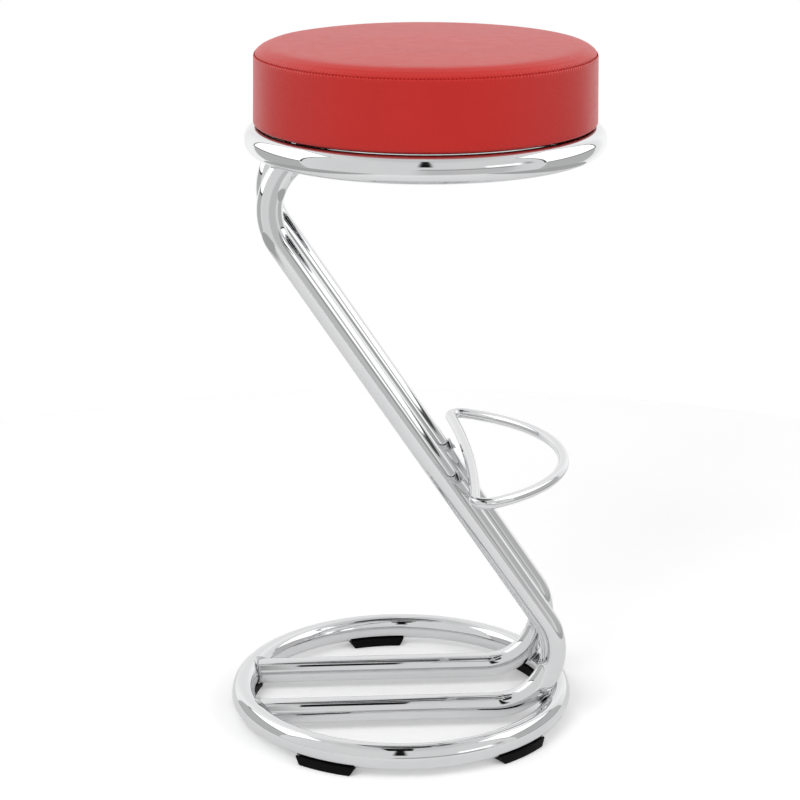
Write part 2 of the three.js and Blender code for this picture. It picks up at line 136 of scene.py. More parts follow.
def patterned_finish(name, colours, look, values, roughness=None, span=(0, 1), relief=None,
                     relief_look=None):
    """A finish whose colour follows a pattern, which its look gives as sizes, detail and perhaps
    kind. Roughness, least and most, follows it over a span, and so does relief, given as depth
    and the share of it that shows, unless it has a look of its own."""
    finish, tree = new_finish(name)
    shades = pattern(tree, *look)
    links = {"Base Color": blend(tree, colours, shades)}
    if roughness:
        links["Roughness"] = add_node(tree, "MapRange", {
            "From Min": span[0], "From Max": span[1], "To Min": roughness[0],
            "To Max": roughness[1], "Value": shades})
    if relief:
        height = pattern(tree, *relief_look) if relief_look else shades
        links["Normal"] = add_node(tree, "Bump", {
            "Distance": relief[0], "Strength": relief[1], "Height": height})
    shader = add_node(tree, "BsdfPrincipled", {**values, **links})
    add_node(tree, "OutputMaterial", {"Surface": shader})
    return finish


def skin(name, loops, round_again=False, ends=False):
    """A mesh through closed loops of points, where a loop of one point is a pole. It can join its
    last loop to its first, or close both ends."""
    count = max(len(loop) for loop in loops)
    points = []
    rings = []
    for loop in loops:
        rings.append([len(points) + j % len(loop) for j in range(count)])
        points += [tuple(point) for point in loop]
    faces = []
    for low, high in zip(rings, rings[1:] + rings[:1] if round_again else rings[1:]):
        for j in range(count):
            k = (j + 1) % count
            faces.append(tuple(dict.fromkeys((low[j], low[k], high[k], high[j]))))
    if ends:
        faces.append(tuple(reversed(range(count))))
        faces.append(tuple(range(len(points) - count, len(points))))
    mesh = bpy.data.meshes.new(name)
    mesh.from_pydata(points, [], faces)
    return mesh


def closed_skin(mesh):
    """The mesh with its doubled points merged and its faces turned outward."""
    work = bmesh.new()
    work.from_mesh(mesh)
    bmesh.ops.remove_doubles(work, verts=work.verts, dist=MERGE_DISTANCE)
    bmesh.ops.recalc_face_normals(work, faces=work.faces)
    work.to_mesh(mesh)
    work.free()
    return mesh


def turned(name, profile, steps):
    """A profile of radius and height turned round the Z axis, from the axis back to the axis."""
    angles = [2 * math.pi * j / steps for j in range(steps)]
    loops = []
    for radius, z in profile:
        round_it = [(radius * math.cos(a), radius * math.sin(a), z) for a in angles]
        loops.append(round_it if radius else [(0, 0, z)])
    return closed_skin(skin(name, loops))


def tube_loop(middle, along, side, half_side, half_cross):
    """An oval section about middle, square to along, with side as its first axis."""
    cross = along.cross(side)
    loop = []
    for j in range(TUBE_SIDES):
        angle = 2 * math.pi * j / TUBE_SIDES
        point = middle + side * half_side * math.cos(angle)
        loop.append(point + cross * half_cross * math.sin(angle))
    return loop


def new_object(name, data):
    """An object in the scene, made of a mesh, a lamp or a camera."""
    item = bpy.data.objects.new(name, data)
    bpy.context.scene.collection.objects.link(item)
    return item


def settled(item):
    """Makes the object's modifiers part of its mesh."""
    bpy.context.view_layer.update()
    shaped = item.evaluated_get(bpy.context.evaluated_depsgraph_get())
    mesh = bpy.data.meshes.new_from_object(shaped)
    item.modifiers.clear()
    item.data = mesh


def cut_away(item, cutters):
    """Takes every cutter mesh out of the object."""
    for mesh in cutters:
        cutter = new_object("cutter", mesh)
        cut = item.modifiers.new("cut", "BOOLEAN")
        cut.operation = "DIFFERENCE"
        cut.solver = "EXACT"
        cut.object = cutter
        settled(item)
        bpy.data.objects.remove(cutter)


def peg(place, radius, low, high, sides=PEG_SIDES):
    """An upright round bar to drill with."""
    mesh = turned("peg", [(0, low), (radius, low), (radius, high), (0, high)], sides)
    mesh.transform(Matrix.Translation((place[0], place[1], 0)))
    return mesh


def dress(item, finish, slot, *nodes, smooth_degrees=METAL_SMOOTH_DEGREES):
    """Gives the piece its material, and sets it on the frame in place of its CAD nodes."""
    item.data.materials.clear()
    item.data.materials.append(finish)
    item.data.shade_smooth()
    item.data.set_sharp_from_angle(angle=math.radians(smooth_degrees))
    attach(item, "root")
    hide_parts(*nodes)


def arc(centre, size, start, end, steps):
    """Points on an upright arc between two angles, ends in, from its centre and half sizes."""
    points = []
    for i in range(steps + 1):
        angle = start + (end - start) * i / steps
        points.append((
            centre[0] + size[0] * math.cos(angle), centre[1] + size[1] * math.sin(angle)))
    return points


def middle_of(node):
    """The middle of a CAD node's box."""
    low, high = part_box(node)
    return (low + high) / 2


def spoke(angle):
    """A level direction, at an angle from +X."""
    return Vector((math.cos(angle), math.sin(angle), 0))


def ring_mesh(middle):
    """The outside of a hoop of oval tube, level round its middle."""
    loops = []
    for i in range(RING_STEPS):
        outward = spoke(2 * math.pi * i / RING_STEPS)
        onward = Vector((-outward.y, outward.x, 0))
        place = middle + outward * RING_RADIUS
        loops.append(tube_loop(
            place, onward, outward, RING_TUBE_WIDTH / 2, RING_TUBE_HEIGHT / 2))
    return closed_skin(skin("ring", loops, round_again=True))


# Chrome plating over polished steel: a mirror that keeps the colour of what it reflects,
# with faint smudges in its gloss and the slight waviness of rolled tube
chrome = patterned_finish(
    "bright chrome plating", CHROME_COLOURS, ((SMUDGE_SIZE,) * 3, SMUDGE_DETAIL), {"Metallic": 1},
    CHROME_ROUGHNESS, SMUDGE_SPAN, (WAVE_HEIGHT, 1), ((WAVE_SIZE,) * 3, WAVE_DETAIL))

base_middle = middle_of("base_ring")
seat_middle = middle_of("seat_ring")
foot_angles = [math.radians(FIRST_FOOT_DEGREES + 360 * i / FOOT_COUNT) for i in range(FOOT_COUNT)]
foot_places = [base_middle + RING_RADIUS * spoke(angle) for angle in foot_angles]
vent_places = [seat_middle + Vector((0, side * RING_RADIUS, 0)) for side in (-1, 1)]

for node, middle, places, hole in (
        ("base_ring", base_middle, foot_places, FOOT_HOLE_DIAMETER),
        ("seat_ring", seat_middle, vent_places, VENT_DIAMETER)):
    ring = new_object(node.title(), ring_mesh(middle))
    wall = ring.modifiers.new("wall", "SOLIDIFY")
    wall.thickness = TUBE_WALL
    wall.offset = -1
    settled(ring)
    underside = middle.z - RING_TUBE_HEIGHT / 2
    cut_away(ring, [peg(spot, hole / 2, underside - CUT_MARGIN, middle.z) for spot in places])
    dress(ring, chrome, "chrome", node)


# Two Z bent tubes, front and rear
# Each is one steel tube with two bends, coped at its ends to the rings and chromed with them.
# It is welded inside both rings, and its upper run is drilled for the seat bolts.

BENT_TUBE_DIAMETER = 28 * MM
BEND_RADIUS = 66 * MM
BEND_ROOT = 1.6 * MM
BEND_STEPS = 56
RUN_STEP = 12 * MM
BOLT_REACH = 70 * MM
BOLT_HOLE_DIAMETER = 6.6 * MM

frame_middle = (base_middle.z + seat_middle.z) / 2
tube_places = {side: middle_of(f"bent_tube_{side}").y for side in ("front", "rear")}
bolt_places = [
    Vector((seat_middle.x + along, across, 0))
    for across in tube_places.values() for along in (-BOLT_REACH, BOLT_REACH)]


def run_points(start, end):
    """Points from start up to end, both in."""
    count = max(1, round((end - start).length / RUN_STEP))
    return [start.lerp(end, i / count) for i in range(count + 1)]


def bend_and_slope(across):
    """How far out a Z tube's lower bend starts, and the slope of its long run."""
    crossing = math.sqrt(RING_RADIUS ** 2 - across ** 2) + base_middle.x
    slant = BEND_RADIUS + (BENT_TUBE_DIAMETER + RING_TUBE_HEIGHT) / 2 + BEND_ROOT
    reach = crossing - math.sqrt(slant ** 2 - BEND_RADIUS ** 2)
    upward = frame_middle - base_middle.z - BEND_RADIUS
    return reach, math.atan2(upward, reach) - math.asin(BEND_RADIUS / math.hypot(reach, upward))


def lower_stations(across):
    """Middles and directions from a Z tube's foot to the middle of its long run."""
    reach, slope = bend_and_slope(across)
    foot = Vector((base_middle.x - RING_RADIUS + RING_TUBE_WIDTH, across, base_middle.z))
    bend = Vector((reach, across, base_middle.z))
    stations = [(point, spoke(0)) for point in run_points(foot, bend)]
    for i in range(1, BEND_STEPS + 1):
        turn = (math.pi - slope) * i / BEND_STEPS
        point = bend + BEND_RADIUS * Vector((math.sin(turn), 0, 1 - math.cos(turn)))
        stations.append((point, Vector((math.cos(turn), 0, math.sin(turn)))))
    last, climb = stations[-1]
    middle = Vector((0, across, frame_middle))
    stations += [(point, climb) for point in run_points(last, middle)[1:]]
    return stations


def coped(loop):
    """The tube's end loop, each point slid along the tube to where it meets the base ring."""
    fitted = []
    for point in loop:
        rise = (point.z - base_middle.z) / (RING_TUBE_HEIGHT / 2 + FIT_GAP)
        inward = (RING_TUBE_WIDTH / 2 + FIT_GAP) * math.sqrt(1 - rise ** 2)
        reach = math.sqrt((RING_RADIUS - inward) ** 2 - point.y ** 2)
        fitted.append(Vector((base_middle.x - reach, point.y, point.z)))
    return fitted


def bent_tube_loops(across, radius):
    """Section loops from the base ring to the seat ring, the upper half turned from the lower."""
    sideways = Vector((0, 1, 0))
    lower = []
    for point, along in lower_stations(across):
        lower.append(tube_loop(point, along, sideways, radius, radius))
    lower[0] = coped(lower[0])
    upper = []
    for loop in reversed(lower[:-1]):
        turned_loop = [Vector((-p.x, p.y, 2 * frame_middle - p.z)) for p in loop]
        upper.append([turned_loop[-j % TUBE_SIDES] for j in range(TUBE_SIDES)])
    return lower + upper


for side, across in tube_places.items():
    outer = bent_tube_loops(across, BENT_TUBE_DIAMETER / 2)
    bore = bent_tube_loops(across, BENT_TUBE_DIAMETER / 2 - TUBE_WALL)
    mesh = closed_skin(skin("tube", outer + bore[::-1], round_again=True))
    tube = new_object(f"Bent_Tube_{side.title()}", mesh)
    reach = BENT_TUBE_DIAMETER / 2 + CUT_MARGIN
    cut_away(tube, [
        peg(spot, BOLT_HOLE_DIAMETER / 2, seat_middle.z - reach, seat_middle.z + reach)
        for spot in bolt_places if spot.y == across])
    dress(tube, chrome, "chrome", f"bent_tube_{side}")


# Footrest
# It is one steel rod bent into a closed loop, with a long front arc and a nearly straight bar.
# The bar is welded across the upper side of both Z tubes, and the loop is chromed with the frame.

FOOTREST_ROD_DIAMETER = 12 * MM
FOOTREST_ARC_RADIUS = 178 * MM
FOOTREST_REACH = 167 * MM
FOOTREST_CORNER_RADIUS = 12 * MM
FOOTREST_BOW = 9.5 * MM
FOOTREST_ROOT = 2.2 * MM
ARC_STEPS = 72
CORNER_STEPS = 18
BAR_STEPS = 14

footrest_height = middle_of("footrest_loop").z


def footrest_half():
    """Middles and directions from the middle of the bar, round the rear corner, to the front."""
    half_span = FOOTREST_ARC_RADIUS - FOOTREST_CORNER_RADIUS
    bow_radius = (half_span ** 2 + FOOTREST_BOW ** 2) / (2 * FOOTREST_BOW)
    across = tube_places["rear"]
    slope = bend_and_slope(across)[1]
    apart = (BENT_TUBE_DIAMETER + FOOTREST_ROD_DIAMETER) / 2 + FOOTREST_ROOT
    bar_middle = (frame_middle - footrest_height) / math.tan(slope) + apart / math.sin(slope)
    bar_middle += bow_radius - math.sqrt(bow_radius ** 2 - across ** 2)
    arc_centre = FOOTREST_REACH - FOOTREST_ARC_RADIUS
    tip_reach = math.sqrt(half_span ** 2 - (bar_middle + FOOTREST_CORNER_RADIUS - arc_centre) ** 2)
    bow = bow_radius - math.sqrt(bow_radius ** 2 - tip_reach ** 2)
    bow_centre = bar_middle + bow - bow_radius
    outer = bow_radius + FOOTREST_CORNER_RADIUS
    squares = outer ** 2 - half_span ** 2 - bow_centre ** 2 + arc_centre ** 2
    corner_x = squares / (2 * (arc_centre - bow_centre))
    corner_y = math.sqrt(half_span ** 2 - (corner_x - arc_centre) ** 2)
    bar_end = math.atan2(corner_y, corner_x - bow_centre)
    arc_end = math.atan2(corner_y, corner_x - arc_centre)
    stations = []
    for centre_x, centre_y, radius, start, end, steps in (
            (bow_centre, 0, bow_radius, 0, bar_end, BAR_STEPS),
            (corner_x, corner_y, FOOTREST_CORNER_RADIUS, bar_end + math.pi, arc_end, CORNER_STEPS),
            (arc_centre, 0, FOOTREST_ARC_RADIUS, arc_end, 0, ARC_STEPS)):
        way = math.copysign(1, end - start)
        for i in range(1 if stations else 0, steps + 1):
            outward = spoke(start + (end - start) * i / steps)
            onward = Vector((-outward.y, outward.x, 0)) * way
            centre = Vector((centre_x, centre_y, footrest_height))
            stations.append((centre + outward * radius, onward))
    return stations


rear_half = footrest_half()
front_half = [
    (Vector((point.x, -point.y, point.z)), Vector((-onward.x, onward.y, 0)))
    for point, onward in reversed(rear_half[1:-1])]
upright = Vector((0, 0, 1))
rod = FOOTREST_ROD_DIAMETER / 2
loops = [tube_loop(point, onward, upright, rod, rod) for point, onward in rear_half + front_half]
footrest = new_object("Footrest_Loop", closed_skin(skin("footrest", loops, round_again=True)))
dress(footrest, chrome, "chrome", "footrest_loop")


# Weld beads
# They are runs of weld metal where the Z tubes meet the rings and where the footrest crosses.
# Each was laid by hand, a little lumpy, and was then plated with the rest of the frame.

WELD_SPOTS = ("base_end", "base_bend", "seat_bend", "seat_end", "footrest")
WELD_GRAIN = 0.55 * MM
WELD_LUMP_SIZE = 3.2 * MM
WELD_LUMP_HEIGHT = 0.3 * MM
WELD_SWELL = 0.3 * MM
WELD_SOFTENING_SHARE = 0.5
WELD_SOFTENING_PASSES = 6
WELD_SMOOTH_DEGREES = 180
# The second, darker grey is painted shade rather than a colour of the plating
WELD_COLOURS_AND_PAINTED_SHADE = ("#d2d3d4", "#8f9091")
WELD_ROUGHNESS = (0.06, 0.2)
WELD_PIT_SIZE = 2.2 * MM
WELD_PIT_DETAIL = 4
WELD_PIT_DEPTH = 0.12 * MM
WELD_PIT_SHARE = 0.6

# Plated weld metal: chrome again, over a rippled surface that was never polished. Its darker
# patches follow the ripple pattern and are painted shade, standing in for the reflections the
# ripples break up.
plated_weld = patterned_finish(
    "chrome plated weld metal", WELD_COLOURS_AND_PAINTED_SHADE, ((WELD_PIT_SIZE,) * 3, WELD_PIT_DETAIL),
    {"Metallic": 1}, WELD_ROUGHNESS, relief=(WELD_PIT_DEPTH, WELD_PIT_SHARE))

for side in tube_places:
    for spot in WELD_SPOTS:
        node = f"weld_{side}_{spot}"
        mesh = closed_skin(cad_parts[node].data.copy())
        bead = new_object(f"Bead_{side}_{spot}".title(), mesh)
        grain = bead.modifiers.new("grain", "REMESH")
        grain.mode = "VOXEL"
        grain.voxel_size = WELD_GRAIN
        soften = bead.modifiers.new("soften", "SMOOTH")
        soften.factor = WELD_SOFTENING_SHARE
        soften.iterations = WELD_SOFTENING_PASSES
        settled(bead)
        swollen_points = [
            v.co + v.normal * (WELD_SWELL + WELD_LUMP_HEIGHT * noise.noise(v.co / WELD_LUMP_SIZE))
            for v in bead.data.vertices]
        for vertex, point in zip(bead.data.vertices, swollen_points):
            vertex.co = point
        dress(bead, plated_weld, "weld_metal", node, smooth_degrees=WELD_SMOOTH_DEGREES)


# Rubber feet
# They are five moulded rubber blocks, curved to follow the base ring and cupped round its tube.
# A screw through each foot holds it to the ring, its head sunk in the sole.

FOOT_LENGTH = 68 * MM
FOOT_WIDTH = 21 * MM
FOOT_TOP = 10.5 * MM
FOOT_EDGE = 1.3 * MM
FOOT_END_SLOPE = 5 * MM
FOOT_END_RISE = 6 * MM
FOOT_STEPS = 56
EDGE_STEPS = 5
CRADLE_STEPS = 14
SCREW_HEAD_DIAMETER = 8 * MM
SCREW_RECESS = 2.2 * MM
SCREW_POCKET = 2.7 * MM
WELD_BOTTOM = 7.7 * MM
WELD_REACH = 3.3 * MM
RUBBER_COLOURS = ("#070707", "#0d0d0d")
RUBBER_SURFACE = {"Roughness": 0.5, "Specular IOR Level": 0.07}
RUBBER_GRAIN = 1.1 * MM
RUBBER_DETAIL = 3
RUBBER_RELIEF = 0.06 * MM
RUBBER_RELIEF_SHARE = 0.7

# Moulded rubber: black with a soft sheen, faintly grained by its mould
rubber = patterned_finish(
    "black moulded rubber", RUBBER_COLOURS, ((RUBBER_GRAIN,) * 3, RUBBER_DETAIL), RUBBER_SURFACE,
    relief=(RUBBER_RELIEF, RUBBER_RELIEF_SHARE))


def foot_section():
    """A foot's cross-section, cupped on top, going from the outer side under to the inner."""
    half = FOOT_WIDTH / 2 - FOOT_EDGE
    cup_width = RING_TUBE_WIDTH / 2 + FIT_GAP
    cup_height = RING_TUBE_HEIGHT / 2 + FIT_GAP
    lip = math.asin((base_middle.z - FOOT_TOP) / cup_height)
    rounding = (FOOT_EDGE, FOOT_EDGE)
    quarter = math.pi / 2
    section = []
    for u, z, start in (
            (half, FOOT_TOP - FOOT_EDGE, quarter), (half, FOOT_EDGE, 0),
            (-half, FOOT_EDGE, -quarter), (-half, FOOT_TOP - FOOT_EDGE, 2 * quarter)):
        section += arc((u, z), rounding, start, start - quarter, EDGE_STEPS)
    cup = (cup_width, cup_height)
    return section + arc((0, base_middle.z), cup, math.pi + lip, 2 * math.pi - lip, CRADLE_STEPS)


def inset(section, depth):
    """The section drawn in by that depth, along its own corners' normals."""
    drawn = []
    for i, (u, z) in enumerate(section):
        before = section[i - 1]
        after = section[(i + 1) % len(section)]
        along = Vector((after[0] - before[0], after[1] - before[1])).normalized()
        drawn.append((u + along.y * depth, z - along.x * depth))
    return drawn


def foot_mesh(angle):
    """A foot on the base ring, with rounded, sloping ends and room for the Z tubes' welds."""
    section = foot_section()
    half = FOOT_LENGTH / 2
    flat = half - FOOT_EDGE
    rounding = arc((flat, FOOT_EDGE), (FOOT_EDGE, FOOT_EDGE), 0, -math.pi / 2, EDGE_STEPS)
    ends = [(s, inset(section, depth)) for s, depth in rounding]
    middle = [(flat - 2 * flat * i / FOOT_STEPS, section) for i in range(1, FOOT_STEPS)]
    stations = ends + middle + [(-s, shape) for s, shape in reversed(ends)]
    loops = []
    for s, shape in reversed(stations):
        loop = []
        for u, z in shape:
            length = half - FOOT_END_SLOPE * (1 - min(z / FOOT_END_RISE, 1))
            outward = spoke(angle + s * length / half / RING_RADIUS)
            point = base_middle + outward * (RING_RADIUS + u)
            point.z = z
            if u < 0 and point.x < base_middle.x:
                aside = min(abs(point.y - across) for across in tube_places.values())
                tube_reach = BENT_TUBE_DIAMETER / 2 + WELD_REACH
                if aside < tube_reach:
                    underside = base_middle.z - math.sqrt(tube_reach ** 2 - aside ** 2)
                    point.z = min(z, max(WELD_BOTTOM, underside))
            loop.append(point)
        loops.append(loop)
    return closed_skin(skin("foot", loops, ends=True))


for index, (angle, spot) in enumerate(zip(foot_angles, foot_places)):
    foot = new_object(f"Rubber_Foot_{index + 1}", foot_mesh(angle))
    head_room = SCREW_HEAD_DIAMETER / 2 + FIT_GAP
    cut_away(foot, [
        peg(spot, head_room, -CUT_MARGIN, SCREW_RECESS + SCREW_POCKET),
        peg(spot, FOOT_HOLE_DIAMETER / 2, 0, FOOT_TOP)])
    dress(foot, rubber, "rubber", f"rubber_foot_{index + 1}")


# Foot screws
# They are zinc plated pan head screws with a cross recess, one up through each rubber foot.
# They bite into the underside of the base ring's tube.

SCREW_HEAD_HEIGHT = 2.4 * MM
SCREW_SHANK_DIAMETER = 4 * MM
SCREW_LENGTH = 9 * MM
SCREW_POINT = 2 * MM
SCREW_DOME = 0.9 * MM
CROSS_WIDTH = 1 * MM
CROSS_SPAN = 4.6 * MM
CROSS_DEPTH = 1.3 * MM
SCREW_SIDES = 36
TURN_SEED = 7
ZINC_COLOURS = ("#c4c7c8", "#9fa4a6")
ZINC_ROUGHNESS = (0.28, 0.45)
ZINC_SPANGLE = 2.5 * MM
ZINC_DETAIL = 3

# Zinc plating: a dull grey mirror with a patchy, slightly bluish tone
zinc = patterned_finish(
    "zinc plated steel", ZINC_COLOURS, ((ZINC_SPANGLE,) * 3, ZINC_DETAIL), {"Metallic": 1},
    ZINC_ROUGHNESS)


def bar(width, depth, low, high):
    """A straight bar across the Z axis, to cut a slot with."""
    corners = [(-1, -1), (1, -1), (1, 1), (-1, 1)]
    loops = [[(u * width / 2, v * depth / 2, z) for u, v in corners] for z in (low, high)]
    return closed_skin(skin("bar", loops, ends=True))


def headed(head_diameter, dome, head_height, diameter, length, point=0):
    """The profile of a screw or bolt on its domed head, up to its flat or pointed end."""
    edge = arc((head_diameter / 2 - dome, dome), (dome, dome), -math.pi / 2, 0, EDGE_STEPS)
    profile = [(0, 0)] + edge + [
        (head_diameter / 2, head_height), (diameter / 2, head_height),
        (diameter / 2, length - point)]
    if point:
        profile.append((diameter / 4, length))
    return profile + [(0, length)]


def placing_tree(name):
    """A Geometry Nodes tree that sets copies of a piece round a ring, each turned outward."""
    tree = bpy.data.node_groups.new(name, "GeometryNodeTree")
    for label, kind in (
            ("Piece", "Object"), ("Count", "Int"), ("Ring radius", "Float"), ("Middle", "Vector"),
            ("First angle", "Float"), ("Loose turn", "Float"), ("Seed", "Int")):
        tree.interface.new_socket(label, in_out="INPUT", socket_type=f"NodeSocket{kind}")
    tree.interface.new_socket("Geometry", in_out="OUTPUT", socket_type="NodeSocketGeometry")
    given = add_node(tree, "NodeGroupInput").outputs
    ring = add_node(tree, "GeometryNodeMeshCircle", {
        "Vertices": given["Count"], "Radius": given["Ring radius"]})
    where = add_node(tree, "GeometryNodeInputPosition")
    facing = add_node(tree, "FunctionNodeAlignRotationToVector", {"axis": "X", "Vector": where})
    down = math_node(tree, "MULTIPLY", given["Loose turn"], -1)
    loose = add_node(tree, "FunctionNodeRandomValue", {
        "data_type": "FLOAT", 2: down, 3: given["Loose turn"], "Seed": given["Seed"]})
    spin = add_node(tree, "CombineXYZ", {"Z": loose.outputs[1]})
    as_turn = add_node(tree, "FunctionNodeEulerToRotation", {"Euler": spin})
    loosened = add_node(tree, "FunctionNodeRotateRotation", {
        "rotation_space": "LOCAL", "Rotation": facing, "Rotate By": as_turn})
    piece = add_node(tree, "GeometryNodeObjectInfo", {"Object": given["Piece"]})
    copies = add_node(tree, "GeometryNodeInstanceOnPoints", {
        "Points": ring, "Instance": piece.outputs["Geometry"], "Rotation": loosened})
    real = add_node(tree, "GeometryNodeRealizeInstances", {"Geometry": copies})
    start = add_node(tree, "CombineXYZ", {"Z": given["First angle"]})
    placed = add_node(tree, "GeometryNodeTransform", {
        "Geometry": real, "Translation": given["Middle"], "Rotation": start})
    add_node(tree, "NodeGroupOutput", {"Geometry": placed})
    return tree


def set_copies(name, tree, values):
    """A plain mesh object made by a tree from its named input values."""
    item = new_object(name, bpy.data.meshes.new(name))
    maker = item.modifiers.new("copies", "NODES")
    maker.node_group = tree
    for socket in tree.interface.items_tree:
        if socket.in_out == "INPUT":
            maker[socket.identifier] = values[socket.name]
    settled(item)
    bpy.data.objects.remove(values["Piece"])
    return item


profile = headed(
    SCREW_HEAD_DIAMETER, SCREW_DOME, SCREW_HEAD_HEIGHT, SCREW_SHANK_DIAMETER,
    SCREW_HEAD_HEIGHT + SCREW_LENGTH, SCREW_POINT)
pattern_screw = new_object("screw", turned("screw", profile, SCREW_SIDES))
cut_away(pattern_screw, [
    bar(CROSS_WIDTH, CROSS_SPAN, -CUT_MARGIN, CROSS_DEPTH),
    bar(CROSS_SPAN, CROSS_WIDTH, -CUT_MARGIN, CROSS_DEPTH)])
round_tree = placing_tree("copies round a ring")
screws = set_copies("Foot_Screws", round_tree, {
    "Piece": pattern_screw, "Count": FOOT_COUNT, "Ring radius": RING_RADIUS,
    "Middle": (base_middle.x, base_middle.y, SCREW_RECESS), "First angle": foot_angles[0],
    "Loose turn": math.pi / 2, "Seed": TURN_SEED})
dress(screws, zinc, "zinc", *[f"foot_screw_{i + 1}" for i in range(FOOT_COUNT)])


# Black cover under the seat
# It is a thin disc of black hardboard that hides the folded hem of the vinyl.
# The seat bolts clamp it between the board and the frame.

COVER_EDGE = 0.7 * MM
COVER_INSET = 4 * MM
COVER_STEPS = 256
COVER_COLOURS = ("#0b0b0c", "#131415")
COVER_SURFACE = {"Roughness": 0.7, "Specular IOR Level": 0.12}
COVER_GRAIN = 2.2 * MM
COVER_DETAIL = 5
COVER_RELIEF = 0.08 * MM
COVER_RELIEF_SHARE = 0.6

# Painted hardboard: flat black, its pressed fibres just showing
cover_black = patterned_finish(
    "black painted hardboard", COVER_COLOURS, ((COVER_GRAIN,) * 3, COVER_DETAIL), COVER_SURFACE,
    relief=(COVER_RELIEF, COVER_RELIEF_SHARE))

cover_low, cover_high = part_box("seat_cover")
flat_radius = (cover_high.x - cover_low.x) / 2 - COVER_INSET - COVER_EDGE
profile = [(0, cover_low.z)]
for height, start in ((cover_low.z + COVER_EDGE, -math.pi / 2), (cover_high.z - COVER_EDGE, 0)):
    rounding = (COVER_EDGE, COVER_EDGE)
    profile += arc((flat_radius, height), rounding, start, start + math.pi / 2, EDGE_STEPS)
profile.append((0, cover_high.z))
mesh = turned("cover", profile, COVER_STEPS)
mesh.transform(Matrix.Translation((seat_middle.x, 0, 0)))
cover = new_object("Seat_Cover", mesh)
cut_away(cover, [
    peg(spot, BOLT_HOLE_DIAMETER / 2, cover_low.z - CUT_MARGIN, cover_high.z + CUT_MARGIN)
    for spot in bolt_places])
dress(cover, cover_black, "black_cover", "seat_cover")


# Seat board, tee nuts and seat bolts
# The board is a plywood disc with four tee nuts pressed in from above, under the foam.
# Four zinc plated bolts with hexagon sockets come up through the Z tubes and hold the seat.

PLY_COLOURS = ("#d2ae7c", "#a97f4e")
PLY_ROUGHNESS = 0.65
PLY_THICKNESS = 1.5 * MM
GRAIN_LENGTH = 60 * MM
GRAIN_WIDTH = 2.5 * MM
PLY_DETAIL = 5
PLY_RELIEF = 0.1 * MM
PLY_RELIEF_SHARE = 0.4
BOLT_HEAD_DIAMETER = 12 * MM
BOLT_HEAD_HEIGHT = 4 * MM
BOLT_DIAMETER = 6 * MM
BOLT_DOME = 2.4 * MM
SOCKET_ACROSS = 4 * MM
SOCKET_DEPTH = 2.2 * MM
SOCKET_SIDES = 6
BOLT_SIDES = 48

# Birch plywood: pale wood with long grain on its faces and glue lines round its edge
plywood = patterned_finish(
    "birch plywood", PLY_COLOURS, ((GRAIN_LENGTH, GRAIN_WIDTH, PLY_THICKNESS), PLY_DETAIL),
    {"Roughness": PLY_ROUGHNESS}, relief=(PLY_RELIEF, PLY_RELIEF_SHARE))

tee_nuts = [f"tee_nut_{i + 1}" for i in range(len(bolt_places))]
for node, finish in [("seat_board", plywood)] + [(nut, zinc) for nut in tee_nuts]:
    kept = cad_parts[node]
    kept.data.materials.clear()
    kept.data.materials.append(finish)

bolt_low, bolt_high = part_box("seat_bolt_1")
profile = headed(
    BOLT_HEAD_DIAMETER, BOLT_DOME, BOLT_HEAD_HEIGHT, BOLT_DIAMETER, bolt_high.z - bolt_low.z)
hexagon = SOCKET_ACROSS / math.sqrt(3)
for index, spot in enumerate(bolt_places):
    bolt = new_object(f"Seat_Bolt_{index + 1}", turned("bolt", profile, BOLT_SIDES))
    cut_away(bolt, [peg((0, 0), hexagon, -CUT_MARGIN, SOCKET_DEPTH, SOCKET_SIDES)])
    bolt.data.transform(Matrix.Translation((spot.x, spot.y, bolt_low.z)))
    dress(bolt, zinc, "zinc", f"seat_bolt_{index + 1}")


# Foam and vinyl cushion
# A thick foam disc sits on the board, under a side band and a top panel of red vinyl cloth. They
# are sewn together near the upper edge, with a fold line above the seam where the panel bends
# over the foam. The band's hem is turned in and stapled under the board.

CUSHION_RADIUS = 182.8 * MM
BOTTOM_ROUND = 3.5 * MM
SHOULDER_WIDTH = 13 * MM
SHOULDER_HEIGHT = 8.2 * MM
DRAW_IN = 1.4 * MM
CROWN = 3 * MM
SEAM_DROP = 11.1 * MM
SEAM_DEPTH = 1.5 * MM
SEAM_ROLL = 1.9 * MM
SEAM_SHARES = (0.25, 0.5, 0.75)
FOLD_RISE = 5.2 * MM
FOLD_DEPTH = 0.55 * MM
FOLD_HALF = 1 * MM
EDGE_SAG = 1.2 * MM
SAG_WIDTH = 1.6 * MM
VINYL_THICKNESS = 1.2 * MM
HEM_WIDTH = 20 * MM
CUSHION_SEGMENTS = 360
ROUND_POINTS = 10
SHOULDER_POINTS = 26
SIDE_POINTS = 22
CROWN_POINTS = 34
HEM_POINTS = 5
AIR_PRESSURE = 4
SIM_FRAMES = 20
SIDE_SWELL_LIMIT = 1.2 * MM
TOP_SWELL_LIMIT = 1.8 * MM
SPREAD_POINTS = 9
SPREAD_PASSES = 2
PULL_SIZE = 8 * MM
PULL_HEIGHT = 0.15 * MM
PULL_REACH = 9 * MM
DENT_SIZE = 70 * MM
DENT_HEIGHT = 0.2 * MM
STITCH_PITCH = 4 * MM
CLOTH_SMOOTH_DEGREES = 60
VINYL_COLOURS = ("#c01e18", "#ca251d")
VINYL_ROUGHNESS = (0.34, 0.44)
VINYL_IOR = 1.45
TONE_SIZE = 90 * MM
TONE_DETAIL = 2
LEATHER_GRAIN = 1.6 * MM
CREASE_RUN = 14 * MM
CREASE_PITCH = 4 * MM
CREASE_DETAIL = 4
CREASE_WANDER = 0.6
GRAIN_RELIEF = 0.13 * MM
GRAIN_RELIEF_SHARE = 0.8
PUCKER_HEIGHT = 0.6 * MM
PUCKER_HEIGHT_SHARE = 0.6
PUCKER_REACH = 6 * MM
FOAM_COLOURS = ("#d8c88f", "#ecdfae")
FOAM_ROUGHNESS = 0.95
